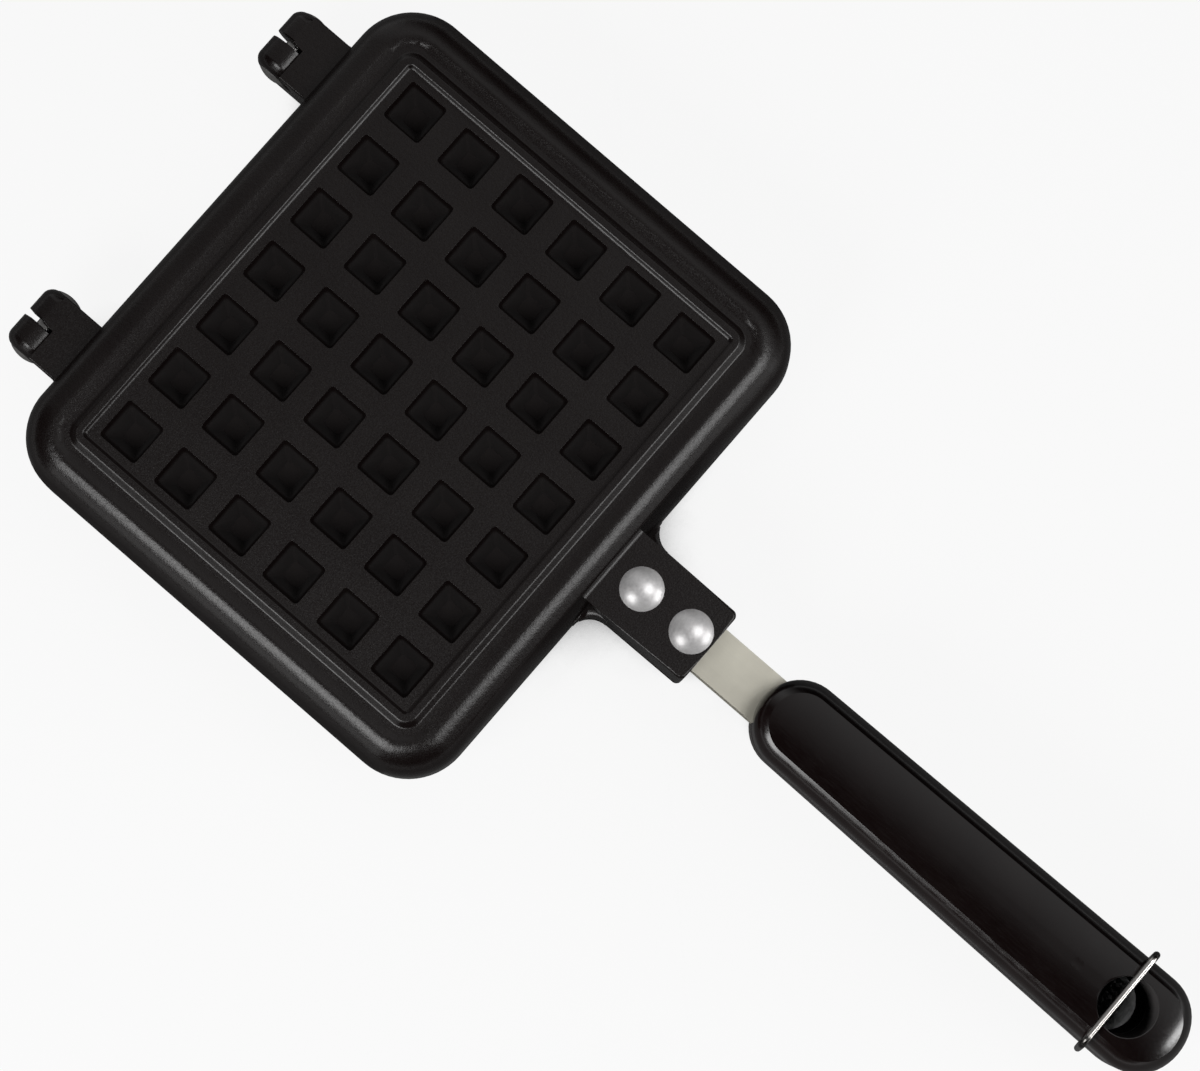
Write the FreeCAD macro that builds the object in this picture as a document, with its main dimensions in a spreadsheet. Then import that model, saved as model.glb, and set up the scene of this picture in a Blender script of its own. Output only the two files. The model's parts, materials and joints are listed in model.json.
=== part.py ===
"""Stovetop waffle iron: two equal hinged castings, each with a riveted steel strip and a moulded handle,
held shut by a wire bail that swings over the handle tips.

Every piece is drawn about the middle of the pan, with the parting plane between the halves at height
zero, X across the iron, Y towards the hinges and Z up. Its placement then puts it in the part's own
frame: the origin lies on the floor, under the middle of the closed iron's outline. Millimetres.
"""
import FreeCAD, Part
import math
import os
import re
import Sketcher

SIZES = {
    # Pan outline and the gap between the rims of the two halves
    "pan_width": 150.0,
    "pan_depth": 133.5,
    "corner_radius": 16.5,
    "parting_gap": 0.2,
    # Rim section: how far each step lies inside the outline, and its height above the parting plane
    "draft_run": 0.3,
    "roll_inset": 8.5,
    "roll_height": 14.2,
    "trough_start": 10.6,
    "trough_end": 12.0,
    "trough_height": 13.55,
    "ridge_outer": 13.35,
    "ridge_inner": 15.2,
    "ridge_foot": 16.2,
    "ridge_height": 14.6,
    "panel_height": 13.4,
    "panel_thickness": 2.4,
    "floor_inset": 9.5,
    "rim_width": 4.5,
    # Waffle grid: hollow tapered pegs, the gap between facing pegs and the metal at a peg's tip
    "peg_pitch": 17.15,
    "peg_columns_count": 7,
    "peg_rows_count": 6,
    "peg_root": 12.5,
    "peg_tip": 8.5,
    "peg_gap": 5.0,
    "peg_floor": 2.5,
    "pocket_mouth": 11.2,
    "pocket_foot": 5.0,
    # Tang that carries the handle strip
    "root_lap": 4.0,
    "tang_length": 28.75,
    "tang_root_width": 21.3,
    "tang_end_width": 20.8,
    "tang_corner": 1.5,
    "tang_top": 11.2,
    "tang_blend": 2.0,
    "web_top": 6.0,
    "web_flare": 6.0,
    # Hinge: one full ear beside one relieved root on each lug, and the pin
    "hinge_inset": 29.2,
    "hinge_width": 17.4,
    "pin_reach": 11.4,
    "ear_radius": 5.95,
    "ear_corner": 1.75,
    "ear_gap": 0.4,
    "slot_width": 1.2,
    "slot_mouth": 1.8,
    "relief_clearance": 0.35,
    "relief_lap": 3.2,
    "pin_radius": 2.5,
    "pin_clearance": 0.05,
    "pin_head_radius": 3.65,
    "pin_head_height": 0.9,
    # Handle strip
    "strip_width": 13.0,
    "strip_thickness": 2.0,
    "strip_level": 2.0,
    "strip_corner": 1.0,
    "strip_start": 1.75,
    "strip_clearance": 0.1,
    "strip_setback": 29.4,
    # Rivets
    "rivet_first": 7.15,
    "rivet_second": 22.75,
    "rivet_radius": 2.5,
    "rivet_clearance": 0.05,
    "rivet_head_radius": 5.45,
    "rivet_head_height": 2.7,
    "rivet_tail_radius": 4.0,
    "rivet_tail_height": 1.3,
    # Handle moulding
    "handle_start": 46.15,
    "handle_length": 131.0,
    "handle_front_radius": 11.25,
    "handle_rear_radius": 12.75,
    "handle_gap": 0.8,
    "handle_top": 14.2,
    "crown_turn_angle": 60.0,
    "shoulder_radius": 3.4,
    "key_radius": 2.5,
    "key_front": 17.1,
    "key_rear": 34.0,
    "hang_radius": 7.25,
    "hang_setback": 18.3,
    # Wire bail
    "wire_radius": 0.9,
    "bail_lean": 10.0,
    "bail_clearance": 0.3,
    "bail_side": 13.9,
    "bail_end_bend": 0.6,
    "bail_top_bend": 2.6,
    "bail_end_depth": 4.0,
    "pivot_drop": 9.5,
    "pivot_setback": 16.9,
    "pivot_clearance": 0.1,
    "seat_depth": 0.4,
    "seat_ahead": 1.3,
    "seat_behind": 2.2,
    # Every cut runs this far past the face that it leaves
    "overrun": 5.0,
}

doc = FreeCAD.newDocument("waffle_iron")
sheet = doc.addObject("Spreadsheet::Sheet", "Sizes")
for row, (alias, size) in enumerate(SIZES.items(), 1):
    sheet.set(f"A{row}", alias)
    sheet.set(f"B{row}", str(size))
    sheet.setAlias(f"B{row}", alias)
doc.recompute()

# Where the two chords of a domed head meet, as a share of the angle from its crown to its rim
DOME_SHARE = 0.6

# Two ends closer than this are taken as one place
MATCH_GAP = 1e-4

# Places that several pieces share, as sums of the sizes above
PAN_EDGE = "pan_depth / 2"
PIN_LINE = "(pan_depth / 2 + pin_reach)"
LUG_START = "(pan_depth / 2 - root_lap)"
HANDLE_FRONT = "(pan_depth / 2 + handle_start)"
HANDLE_TIP = "(pan_depth / 2 + handle_start + handle_length)"
RIM_BOTTOM = "(parting_gap / 2)"
FLOOR_FACE = "(panel_height - panel_thickness)"
PEG_FACE = "(peg_gap / 2)"
BAIL_PIVOT = "(pan_depth / 2 + handle_start + handle_length - pivot_setback)"
BAIL_SWEEP = "(handle_top + pivot_drop)"
BAIL_LENGTH = "(handle_top + pivot_drop + bail_clearance + wire_radius)"
HINGE_LINE = "(pan_width / 2 - hinge_inset)"
FRAME_SHIFT = "(handle_start + handle_length - pin_reach - ear_radius) / 2"
STANDING_HEIGHT = "ridge_height"


def cells(text):
    """A sum of sizes with each name pointed at its cell."""
    names = r"\b(" + "|".join(sorted(SIZES, key=len, reverse=True)) + r")\b"
    return re.sub(names, r"Sizes.\1", text)


def value(text):
    """What a sum of sizes comes to."""
    return float(sheet.evalExpression(cells(text)))


def tie(item, **bindings):
    """Bind properties of an object to sums of sizes."""
    for prop, text in bindings.items():
        item.setExpression(prop.replace("__", "."), cells(text))


def new_body(label, across="0", along="0", height="0", turned=False):
    """A body in the part's frame, at a place given from the middle of the pan. A turned body is on the
    lower half: it is rolled half a turn about the Y axis."""
    body = doc.addObject("PartDesign::Body", label)
    body.Label = label
    side = "-1" if turned else "1"
    if turned:
        body.Placement.Rotation = FreeCAD.Rotation(FreeCAD.Vector(0, 1, 0), 180)
    tie(
        body,
        Placement__Base__x=f"{side} * ({across})",
        Placement__Base__y=f"{FRAME_SHIFT} + ({along})",
        Placement__Base__z=f"{STANDING_HEIGHT} + {side} * ({height})",
    )
    return body


def new_sketch(body, name, plane, offset="0"):
    """A sketch on one of the body's own planes, lifted along the plane's normal."""
    sketch = body.newObject("Sketcher::SketchObject", name)
    base = next(item for item in body.Origin.OriginFeatures if item.Role == plane)
    sketch.AttachmentSupport = [(base, "")]
    sketch.MapMode = "FlatFace"
    tie(sketch, AttachmentOffset__Base__z=offset)
    return sketch


def pin_point(sketch, geometry, spot, across, up):
    """Fix one point of a sketch at named distances from the sketch's origin."""
    for kind, axis, text in (("DistanceX", -2, across), ("DistanceY", -1, up)):
        if text == "0":
            sketch.addConstraint(Sketcher.Constraint("PointOnObject", geometry, spot, axis))
            continue
        index = sketch.addConstraint(Sketcher.Constraint(kind, -1, 1, geometry, spot, value(text)))
        sketch.setExpression(f"Constraints[{index}]", cells(text))


def bend_between(start, end, radius):
    """The shorter arc of a radius from start to end, to the left of the way when the radius is positive."""
    half = (end - start) * 0.5
    reach = math.sqrt(max(radius * radius - half.Length ** 2, 0.0))
    left = FreeCAD.Vector(-half.y, half.x, 0).normalize()
    centre = start + half + left * math.copysign(reach, radius)
    circle = Part.Circle(centre, FreeCAD.Vector(0, 0, 1), abs(radius))
    first, last = (start, end) if radius > 0 else (end, start)
    return Part.ArcOfCircle(circle, circle.parameter(first), circle.parameter(last))


def trace(sketch, corners, closed=True):
    """Draw an outline. A corner is (across, up) or (across, up, bend), where bend is the radius of the arc
    that leads to the next corner; a bend that starts with a minus turns clockwise."""
    spots = [FreeCAD.Vector(value(corner[0]), value(corner[1]), 0) for corner in corners]
    steps = len(corners) if closed else len(corners) - 1
    ends = []
    for step in range(steps):
        start = spots[step]
        end = spots[(step + 1) % len(corners)]
        if len(corners[step]) == 2:
            geometry = sketch.addGeometry(Part.LineSegment(start, end))
            ends.append((geometry, 1, 2))
            continue
        bend = corners[step][2]
        geometry = sketch.addGeometry(bend_between(start, end, value(bend)))
        ends.append((geometry, 2, 1) if bend.startswith("-") else (geometry, 1, 2))
        index = sketch.addConstraint(Sketcher.Constraint("Radius", geometry, abs(value(bend))))
        sketch.setExpression(f"Constraints[{index}]", cells(bend.lstrip("-")))
    for step in range(steps):
        geometry, first, last = ends[step]
        pin_point(sketch, geometry, first, corners[step][0], corners[step][1])
        if step + 1 < steps or closed:
            following = ends[(step + 1) % steps]
            sketch.addConstraint(Sketcher.Constraint("Coincident", geometry, last, *following[:2]))
        else:
            pin_point(sketch, geometry, last, corners[-1][0], corners[-1][1])


def ring(sketch, across, up, radius):
    """Draw a circle."""
    centre = FreeCAD.Vector(value(across), value(up), 0)
    geometry = sketch.addGeometry(Part.Circle(centre, FreeCAD.Vector(0, 0, 1), value(radius)))
    pin_point(sketch, geometry, 3, across, up)
    index = sketch.addConstraint(Sketcher.Constraint("Radius", geometry, value(radius)))
    sketch.setExpression(f"Constraints[{index}]", cells(radius))


def box_outline(sketch, left, right, bottom, top):
    """Draw a rectangle between four named distances."""
    trace(sketch, [(left, bottom), (right, bottom), (right, top), (left, top)])


def rounded_box(sketch, half_across, half_up, radius):
    """Draw a rectangle with round corners about the origin, split where its right side crosses the X axis."""
    far_across = f"{half_across} - ({radius})"
    far_up = f"{half_up} - ({radius})"
    trace(sketch, [
        (half_across, "0"),
        (half_across, far_up, radius),
        (far_across, half_up),
        (f"-({far_across})", half_up, radius),
        (f"-({half_across})", far_up),
        (f"-({half_across})", f"-({far_up})", radius),
        (f"-({far_across})", f"-({half_up})"),
        (far_across, f"-({half_up})", radius),
        (half_across, f"-({far_up})"),
    ])


def feature(body, kind, name, sketch, reverse=False, symmetric=False, **bindings):
    """A feature of the body made from a sketch."""
    item = body.newObject("PartDesign::" + kind, name)
    item.Profile = sketch
    item.Reversed = reverse
    if symmetric:
        item.SideType = "Symmetric"
    tie(item, **bindings)
    sketch.Visibility = False
    return item


def spun(body, name, sketch, axis):
    """A full revolution of a sketch about one of the sketch's own axes."""
    item = body.newObject("PartDesign::Revolution", name)
    item.Profile = sketch
    item.ReferenceAxis = (sketch, [axis])
    return item


def swept(body, kind, name, profile, path):
    """A sketch swept along another sketch."""
    item = body.newObject("PartDesign::" + kind, name)
    item.Profile = profile
    item.Spine = (path, [])
    return item


def runs_along(edge, *others):
    """Whether an edge runs straight along one axis: its ends agree on the other axes."""
    first, last = (end.Point for end in (edge.Vertexes[0], edge.Vertexes[-1]))
    return all(abs(first[axis] - last[axis]) < MATCH_GAP for axis in others)


def rounded(body, name, base, radius, wanted):
    """Round the edges of a feature that a test picks out."""
    doc.recompute()
    picked = [f"Edge{number}" for number, edge in enumerate(base.Shape.Edges, 1) if wanted(edge)]
    item = body.newObject("PartDesign::Fillet", name)
    item.Base = (base, picked)
    tie(item, Radius=radius)
    body.Tip = item
    return item


def rim_section(sketch):
    """The rim from the parting face over the rolled edge, trough and standing ridge to the cooking floor."""
    edge = "pan_width / 2"
    trace(sketch, [
        (edge, RIM_BOTTOM),
        (f"{edge} - draft_run", "roll_height - roll_inset + draft_run", "roll_inset - draft_run"),
        (f"{edge} - roll_inset", "roll_height"),
        (f"{edge} - trough_start", "trough_height"),
        (f"{edge} - trough_end", "trough_height"),
        (f"{edge} - ridge_outer", "ridge_height"),
        (f"{edge} - ridge_inner", "ridge_height"),
        (f"{edge} - ridge_foot", "panel_height"),
        (f"{edge} - ridge_foot", FLOOR_FACE),
        (f"{edge} - floor_inset", FLOOR_FACE),
        (f"{edge} - rim_width", RIM_BOTTOM),
    ])


def waffle_casting(label, turned):
    """One half of the pan. Both halves are the same casting: each hinge lug has a full ear on one side and
    a relieved root on the other, so that the turned half's ears come beside the first half's."""
    body = new_body(label, turned=turned)

    # Rim, swept round the pan
    path = new_sketch(body, "RimPath", "XY_Plane")
    rounded_box(path, "pan_width / 2", PAN_EDGE, "corner_radius")
    section = new_sketch(body, "RimSection", "XZ_Plane")
    rim_section(section)
    swept(body, "AdditivePipe", "Rim", section, path)

    # Panel inside the standing ridge
    panel = new_sketch(body, "PanelOutline", "XY_Plane", FLOOR_FACE)
    rounded_box(
        panel, "pan_width / 2 - ridge_inner", f"{PAN_EDGE} - ridge_inner", "corner_radius - ridge_inner",
    )
    feature(body, "Pad", "Panel", panel, Length="panel_thickness")

    # Tang, with a flared web below its top and a channel for the strip
    tang = new_sketch(body, "TangOutline", "XY_Plane", "strip_level")
    tang_end = f"-({PAN_EDGE} + tang_length)"
    trace(tang, [
        ("-tang_root_width / 2", f"-{LUG_START}"),
        ("-tang_end_width / 2", f"{tang_end} + tang_corner", "tang_corner"),
        ("tang_corner - tang_end_width / 2", tang_end),
        ("tang_end_width / 2 - tang_corner", tang_end, "tang_corner"),
        ("tang_end_width / 2", f"{tang_end} + tang_corner"),
        ("tang_root_width / 2", f"-{LUG_START}"),
    ])
    feature(body, "Pad", "Tang", tang, Length="tang_top - strip_level")
    web = new_sketch(body, "WebOutline", "XY_Plane", "strip_level")
    web_foot = "(tang_root_width / 2 + web_flare)"
    trace(web, [
        (f"-{web_foot}", f"-{LUG_START}"),
        (f"-{web_foot}", f"-{PAN_EDGE}", "-web_flare"),
        ("-tang_root_width / 2", f"-({PAN_EDGE} + web_flare)"),
        ("tang_root_width / 2", f"-({PAN_EDGE} + web_flare)", "-web_flare"),
        (web_foot, f"-{PAN_EDGE}"),
        (web_foot, f"-{LUG_START}"),
    ])
    web_pad = feature(body, "Pad", "Web", web, Length="web_top - strip_level")
    top = value("tang_top")
    front = -value(PAN_EDGE)
    rounded(
        body, "TangBlend", web_pad, "tang_blend",
        lambda edge: all(abs(end.Z - top) < MATCH_GAP and end.Y > front for end in edge.Vertexes),
    )
    channel = new_sketch(body, "ChannelOutline", "XY_Plane", "strip_level")
    channel_half = "(strip_width / 2 + strip_clearance)"
    box_outline(
        channel, f"-{channel_half}", channel_half,
        f"{tang_end} - overrun", f"strip_clearance - ({PAN_EDGE} + strip_start)",
    )
    feature(body, "Pocket", "Channel", channel, reverse=True, Length="strip_thickness")
    holes = new_sketch(body, "RivetHoles", "XY_Plane", "strip_level")
    for place in ("rivet_first", "rivet_second"):
        ring(holes, "0", f"-({PAN_EDGE} + {place})", "rivet_radius + rivet_clearance")
    feature(body, "Pocket", "RivetBores", holes, reverse=True, Length="tang_top - strip_level + overrun")

    # Hinge lug, drawn at the left hinge and repeated at the right one
    middle = f"-{HINGE_LINE}"
    root = new_sketch(body, "LugOutline", "XY_Plane", RIM_BOTTOM)
    box_outline(
        root, f"{middle} - hinge_width / 2", f"{middle} + hinge_width / 2",
        LUG_START, f"{PIN_LINE} - relief_lap",
    )
    lug = feature(body, "Pad", "Lug", root, Length=f"ear_radius - {RIM_BOTTOM}")
    relief_face = new_sketch(body, "ReliefOutline", "YZ_Plane", f"{middle} + ear_gap / 2")
    ring(relief_face, PIN_LINE, "0", "ear_radius + relief_clearance")
    relief = feature(body, "Pocket", "Relief", relief_face, Length="hinge_width / 2 + ear_gap / 2 + overrun")
    neck = new_sketch(body, "NeckOutline", "XY_Plane", RIM_BOTTOM)
    box_outline(neck, f"{middle} + ear_gap / 2", f"{middle} + hinge_width / 2", LUG_START, PIN_LINE)
    ear_neck = feature(body, "Pad", "EarNeck", neck, Length=f"ear_radius - {RIM_BOTTOM}")
    ear = new_sketch(body, "EarSection", "XY_Plane")
    ear_side = f"{middle} + hinge_width / 2"
    trace(ear, [
        (f"{middle} + slot_width / 2", PIN_LINE),
        (ear_side, PIN_LINE),
        (ear_side, f"{PIN_LINE} + ear_radius - ear_corner"),
        (f"{ear_side} - ear_corner", f"{PIN_LINE} + ear_radius"),
        (f"{middle} + slot_mouth / 2", f"{PIN_LINE} + ear_radius"),
        (f"{middle} + slot_width / 2", f"{PIN_LINE} + ear_radius - ear_corner"),
    ])
    barrel = spun(body, "EarBarrel", ear, "Edge1")
    bore_face = new_sketch(body, "BoreOutline", "YZ_Plane", middle)
    ring(bore_face, PIN_LINE, "0", "pin_radius + pin_clearance")
    bore = feature(body, "Pocket", "PinBore", bore_face, symmetric=True, Length="hinge_width + overrun")
    both = body.newObject("PartDesign::LinearPattern", "SecondHinge")
    both.Originals = [lug, relief, ear_neck, barrel, bore]
    both.Direction = (root, ["H_Axis"])
    both.Occurrences = 2
    tie(both, Length=f"2 * {HINGE_LINE}")
    body.Tip = both

    # Waffle grid: the corner peg and its pocket, repeated over the panel
    peg = frustum(body, "AdditiveWedge", "Peg", PEG_FACE, FLOOR_FACE, "peg_tip", "peg_root")
    pocket_floor = f"({PEG_FACE} + peg_floor)"
    pocket = frustum(
        body, "SubtractiveWedge", "PegPocket", pocket_floor, "panel_height", "pocket_foot", "pocket_mouth",
    )
    grid = body.newObject("PartDesign::MultiTransform", "WaffleGrid")
    grid.Originals = [peg, pocket]
    lines = []
    runs = (("Columns", "H_Axis", "peg_columns_count"), ("Rows", "V_Axis", "peg_rows_count"))
    for name, axis, count in runs:
        line = body.newObject("PartDesign::LinearPattern", name)
        line.Direction = (panel, [axis])
        tie(line, Length=f"({count} - 1) * peg_pitch", Occurrences=count)
        lines.append(line)
    grid.Transformations = lines
    body.Tip = grid
    return body


def frustum(body, kind, name, low, high, low_width, high_width):
    """A square tapered block at the corner place of the grid, between two heights."""
    item = body.newObject("PartDesign::" + kind, name)
    base = next(item for item in body.Origin.OriginFeatures if item.Role == "XZ_Plane")
    item.AttachmentSupport = [(base, "")]
    item.MapMode = "FlatFace"
    tie(
        item,
        AttachmentOffset__Base__x="-(peg_columns_count - 1) / 2 * peg_pitch",
        AttachmentOffset__Base__z="(peg_rows_count - 1) / 2 * peg_pitch",
        Ymin=low, Ymax=high,
        Xmin=f"-{low_width} / 2", Xmax=f"{low_width} / 2",
        Zmin=f"-{low_width} / 2", Zmax=f"{low_width} / 2",
        X2min=f"-{high_width} / 2", X2max=f"{high_width} / 2",
        Z2min=f"-{high_width} / 2", Z2max=f"{high_width} / 2",
    )
    return item


def dome(radius, height, foot):
    """The outline of a domed head from its crown to its rim, as (along, out) pairs: two chords that meet at
    a share of the rim's angle."""
    bulge = f"(({radius}) ^ 2 + ({height}) ^ 2) / (2 * ({height}))"
    turn = f"{DOME_SHARE} * asin({radius} / ({bulge}))"
    corner = (f"{foot} + {height} - ({bulge}) * (1 - cos({turn}))", f"({bulge}) * sin({turn})")
    return [(f"{foot} + {height}", "0"), corner, (foot, radius)]


def hinge_pin(label, side):
    """A headed pin through one hinge lug."""
    body = new_body(label, across=f"{side} * {HINGE_LINE}", along=PIN_LINE)
    profile = new_sketch(body, "PinSection", "XY_Plane")
    end = "(hinge_width / 2)"
    right = dome("pin_head_radius", "pin_head_height", end)
    left = [(f"-({across})", up) for across, up in reversed(right)]
    trace(profile, right + [(end, "pin_radius"), (f"-{end}", "pin_radius")] + left)
    spun(body, "Pin", profile, "H_Axis")
    return body


def strip(label, turned):
    """The flat steel strip between tang and handle."""
    body = new_body(label, turned=turned)
    face = new_sketch(body, "StripOutline", "XY_Plane", "strip_level")
    half = "strip_width / 2"
    near = f"-({PAN_EDGE} + strip_start)"
    far = f"(strip_setback - {HANDLE_TIP})"
    trace(face, [
        (f"-{half}", f"{near} - strip_corner"),
        (f"-{half}", f"{far} + strip_corner", "strip_corner"),
        (f"strip_corner - {half}", far),
        (f"{half} - strip_corner", far, "strip_corner"),
        (half, f"{far} + strip_corner"),
        (half, f"{near} - strip_corner", "strip_corner"),
        (f"{half} - strip_corner", near),
        (f"strip_corner - {half}", near, "strip_corner"),
    ])
    for place in ("rivet_first", "rivet_second"):
        ring(face, "0", f"-({PAN_EDGE} + {place})", "rivet_radius + rivet_clearance")
    for place in (f"-({HANDLE_FRONT} + key_front)", f"key_rear - {HANDLE_TIP}"):
        ring(face, "0", place, "key_radius + rivet_clearance")
    feature(body, "Pad", "Strip", face, Length="strip_thickness")
    return body


def rivet(label, place, turned):
    """A domed rivet through tang and strip, with its tail set flat under the strip."""
    body = new_body(label, along=f"-({PAN_EDGE} + {place})", turned=turned)
    profile = new_sketch(body, "RivetSection", "XZ_Plane")
    tail_end = "strip_level - rivet_tail_height"
    tail = [("0", tail_end), ("rivet_tail_radius", tail_end), ("rivet_tail_radius", "strip_level")]
    shank = [("rivet_radius", "strip_level"), ("rivet_radius", "tang_top")]
    head = [(up, across) for across, up in dome("rivet_head_radius", "rivet_head_height", "tang_top")]
    trace(profile, tail + shank + list(reversed(head)))
    spun(body, "Rivet", profile, "V_Axis")
    return body


def handle_outline(sketch):
    """The handle in plan: two round ends joined by their common tangents."""
    front = f"({HANDLE_FRONT} + handle_front_radius)"
    rear = f"({HANDLE_TIP} - handle_rear_radius)"
    sine = f"((handle_rear_radius - handle_front_radius) / ({rear} - {front}))"
    cosine = f"sqrt(1 - {sine} ^ 2)"
    front_side = f"handle_front_radius * {cosine}"
    rear_side = f"handle_rear_radius * {cosine}"
    front_touch = f"handle_front_radius * {sine} - {front}"
    rear_touch = f"handle_rear_radius * {sine} - {rear}"
    trace(sketch, [
        (front_side, front_touch, "handle_front_radius"),
        ("0", f"-{HANDLE_FRONT}", "handle_front_radius"),
        (f"-{front_side}", front_touch),
        (f"-{rear_side}", rear_touch, "handle_rear_radius"),
        ("0", f"-{HANDLE_TIP}", "handle_rear_radius"),
        (rear_side, rear_touch),
    ])


def handle(label, turned):
    """One moulded handle half: its side view, trimmed to its plan and rounded along the top edge, with the
    strip's bed, its two keys and the hanging hole. The top bends down at the tip about the bail's pivot."""
    body = new_body(label, turned=turned)
    side = new_sketch(body, "SideView", "YZ_Plane")
    tip_drop = "crown_turn_angle * 1 deg"
    beyond = f"-({BAIL_PIVOT} + {BAIL_SWEEP} * sin({tip_drop}))"
    trace(side, [
        (f"overrun - {HANDLE_FRONT}", "handle_gap / 2"),
        (f"overrun - {HANDLE_FRONT}", "handle_top"),
        (f"-{BAIL_PIVOT}", "handle_top", BAIL_SWEEP),
        (beyond, f"{BAIL_SWEEP} * cos({tip_drop}) - pivot_drop"),
        (beyond, "handle_gap / 2"),
    ])
    feature(body, "Pad", "Block", side, symmetric=True, Length="2 * (handle_rear_radius + overrun)")
    plan = new_sketch(body, "PlanView", "XY_Plane")
    wide = "(handle_rear_radius + 2 * overrun)"
    box_outline(plan, f"-{wide}", wide, f"-({HANDLE_TIP} + 2 * overrun)", f"2 * overrun - {HANDLE_FRONT}")
    handle_outline(plan)
    trimmed = feature(body, "Pocket", "Trim", plan, reverse=True, Length="handle_top + overrun")
    foot = value("handle_gap / 2")
    rounded(
        body, "Shoulders", trimmed, "shoulder_radius",
        lambda edge: edge.BoundBox.ZMin > foot + MATCH_GAP and not runs_along(edge, 0, 1),
    )

    bed = new_sketch(body, "StripBed", "XY_Plane", "strip_level")
    half = "strip_width / 2"
    far = f"(strip_setback - {HANDLE_TIP})"
    trace(bed, [
        (f"-{half}", f"overrun - {HANDLE_FRONT}"),
        (f"-{half}", f"{far} + strip_corner", "strip_corner"),
        (f"strip_corner - {half}", far),
        (f"{half} - strip_corner", far, "strip_corner"),
        (half, f"{far} + strip_corner"),
        (half, f"overrun - {HANDLE_FRONT}"),
    ])
    for place in (f"-({HANDLE_FRONT} + key_front)", f"key_rear - {HANDLE_TIP}"):
        ring(bed, "0", place, "key_radius")
    feature(body, "Pocket", "Bed", bed, reverse=True, Length="strip_thickness")
    eye = new_sketch(body, "HangingEye", "XY_Plane", "-overrun")
    ring(eye, "0", f"hang_setback - {HANDLE_TIP}", "hang_radius")
    feature(body, "Pocket", "Eye", eye, reverse=True, Length="handle_top + 2 * overrun")
    return body


def upper_handle():
    """The handle with a shallow seat across its top for the bail."""
    body = handle("upper_handle", False)
    seat = new_sketch(body, "SeatOutline", "YZ_Plane")
    wire_line = f"({BAIL_LENGTH} * sin(bail_lean * 1 deg) - {BAIL_PIVOT})"
    box_outline(
        seat, f"{wire_line} - seat_behind", f"{wire_line} + seat_ahead",
        "handle_top - seat_depth", "handle_top + overrun",
    )
    feature(body, "Pocket", "BailSeat", seat, symmetric=True, Length="2 * handle_rear_radius + overrun")
    return body


def lower_handle():
    """The handle with a blind hole in each side for the bail's ends."""
    body = handle("lower_handle", True)
    hole_floor = "(bail_side - wire_radius - bail_end_depth)"
    ends = new_sketch(body, "PivotOutline", "YZ_Plane", hole_floor)
    ring(ends, f"-{BAIL_PIVOT}", "pivot_drop", "wire_radius + pivot_clearance")
    hole = feature(body, "Pocket", "PivotHole", ends, reverse=True, Length="bail_end_depth + overrun")
    other = body.newObject("PartDesign::Mirrored", "OtherPivotHole")
    other.Originals = [hole]
    other.MirrorPlane = (next(item for item in body.Origin.OriginFeatures if item.Role == "YZ_Plane"), [""])
    body.Tip = other
    return body


def latch_bail():
    """The wire bail in its leaning rest place: two ends in the lower handle, two legs and the cross run."""
    body = new_body("latch_bail", along=f"-{BAIL_PIVOT}", height="-pivot_drop")
    tie(
        body,
        Placement__Rotation__Axis__x="-1",
        Placement__Rotation__Axis__z="0",
        Placement__Rotation__Angle="bail_lean",
    )
    route = new_sketch(body, "WireRoute", "XZ_Plane")
    inner = "(bail_side - bail_end_depth)"
    right = [
        (inner, "0"),
        ("bail_side - bail_end_bend", "0"),
        ("bail_side", "bail_end_bend"),
        ("bail_side", f"{BAIL_LENGTH} - bail_top_bend"),
        ("bail_side - bail_top_bend", BAIL_LENGTH),
    ]
    left = [(f"-({across})", up) for across, up in reversed(right)]
    trace(route, right + left, closed=False)
    wire = new_sketch(body, "WireSection", "YZ_Plane", inner)
    ring(wire, "0", "0", "wire_radius")
    pipe = swept(body, "AdditivePipe", "Wire", wire, route)
    pipe.Transition = "Right corner"
    return body


pieces = []
for half_name, is_turned in (("upper", False), ("lower", True)):
    pieces.append(waffle_casting(f"{half_name}_casting", is_turned))
    pieces.append(strip(f"{half_name}_strip", is_turned))
    pieces.append(rivet(f"{half_name}_rivet_front", "rivet_first", is_turned))
    pieces.append(rivet(f"{half_name}_rivet_rear", "rivet_second", is_turned))
pieces.append(upper_handle())
pieces.append(lower_handle())
pieces.append(hinge_pin("hinge_pin_right", "1"))
pieces.append(hinge_pin("hinge_pin_left", "-1"))
pieces.append(latch_bail())
doc.recompute()

failed = [item.Label for item in doc.Objects if "Invalid" in item.State or "Error" in item.State]
if failed:
    raise RuntimeError(f"failed objects: {failed}")
for piece in pieces:
    if piece.Shape.isNull() or not piece.Shape.isValid():
        raise RuntimeError(f"bad shape: {piece.Label}")

os.makedirs("parts", exist_ok=True)
for piece in pieces:
    piece.Shape.exportStep(f"parts/{piece.Label}.step")
    box = piece.Shape.optimalBoundingBox()
    print(f"{piece.Label}: {piece.Shape.Volume:.1f} mm3, {len(piece.Shape.Solids)} solid, "
          f"{box.XMin:.2f} {box.YMin:.2f} {box.ZMin:.2f} to {box.XMax:.2f} {box.YMax:.2f} {box.ZMax:.2f}")
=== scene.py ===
"""Stovetop waffle iron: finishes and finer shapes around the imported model, in metres."""
import json
import math

import bmesh
import bpy
from mathutils import Matrix, Vector


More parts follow.
